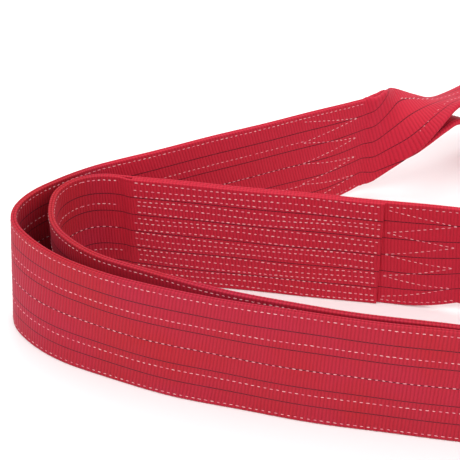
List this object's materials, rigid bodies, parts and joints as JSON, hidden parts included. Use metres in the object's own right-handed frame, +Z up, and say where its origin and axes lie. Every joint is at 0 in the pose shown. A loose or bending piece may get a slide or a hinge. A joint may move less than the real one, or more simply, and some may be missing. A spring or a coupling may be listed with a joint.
{
  "type": "webbing sling",
  "caption": "Two-ply flat webbing lifting sling with a folded, tapered eye at each end, laid folded in four on its edge.",
  "frame": {"origin": "middle of the outline, on the floor", "axes": "+X along the legs to the right, +Y to the back, +Z up"},
  "size_m": [0.9847, 0.8306, 0.15],
  "materials": {
    "webbing": "ribbed woven polyester",
    "thread": "pale sewing thread"
  },
  "bodies": {
    "sling_body": {"bend_inner_ply": "webbing", "bend_outer_ply": "webbing", "front_inner_ply": "webbing", "front_outer_ply": "webbing", "turn_inner_ply": "webbing", "turn_outer_ply": "webbing", "return_inner_ply": "webbing", "return_outer_ply": "webbing", "inner_bend_near_ply": "webbing", "inner_bend_far_ply": "webbing", "body_edge_stitching": "thread", "body_quarter_stitching": "thread", "body_centre_stitching": "thread"},
    "back_leg": {"back_leg_inner_ply": "webbing", "back_leg_outer_ply": "webbing", "back_leg_edge_stitching": "thread", "back_leg_quarter_stitching": "thread", "back_leg_centre_stitching": "thread", "back_leg_zigzag": "thread"},
    "middle_leg": {"middle_leg_far_ply": "webbing", "middle_leg_near_ply": "webbing", "middle_leg_lap_ply": "webbing", "splice_stitching": "thread", "middle_leg_edge_stitching": "thread", "middle_leg_zigzag": "thread"},
    "back_eye": {"back_eye_upper_ply": "webbing", "back_eye_lower_ply": "webbing", "back_eye_loop": "webbing", "back_eye_fold_stitching": "thread"},
    "middle_eye": {"middle_eye_upper_ply": "webbing", "middle_eye_lower_ply": "webbing", "middle_eye_loop": "webbing", "middle_eye_fold_stitching": "thread"}
  },
  "joints": [
    {"name": "back_leg_swing", "type": "hinge", "parent": "sling_body", "child": "back_leg", "pos_m": [-0.38042, 0.02556, 0.075], "axis": [0, 0, 1], "range_deg": [-6, 40]},
    {"name": "back_eye_swing", "type": "hinge", "parent": "back_leg", "child": "back_eye", "pos_m": [-0.05686, 0.18338, 0.075], "axis": [0, 0, 1], "range_deg": [-10, 30]},
    {"name": "middle_leg_swing", "type": "hinge", "parent": "sling_body", "child": "middle_leg", "pos_m": [-0.38116, -0.00693, 0.075], "axis": [0, 0, 1], "range_deg": [-2, 4]},
    {"name": "middle_eye_swing", "type": "hinge", "parent": "middle_leg", "child": "middle_eye", "pos_m": [0.04231, -0.0816, 0.075], "axis": [0, 0, 1], "range_deg": [-5, 15]}
  ]
}
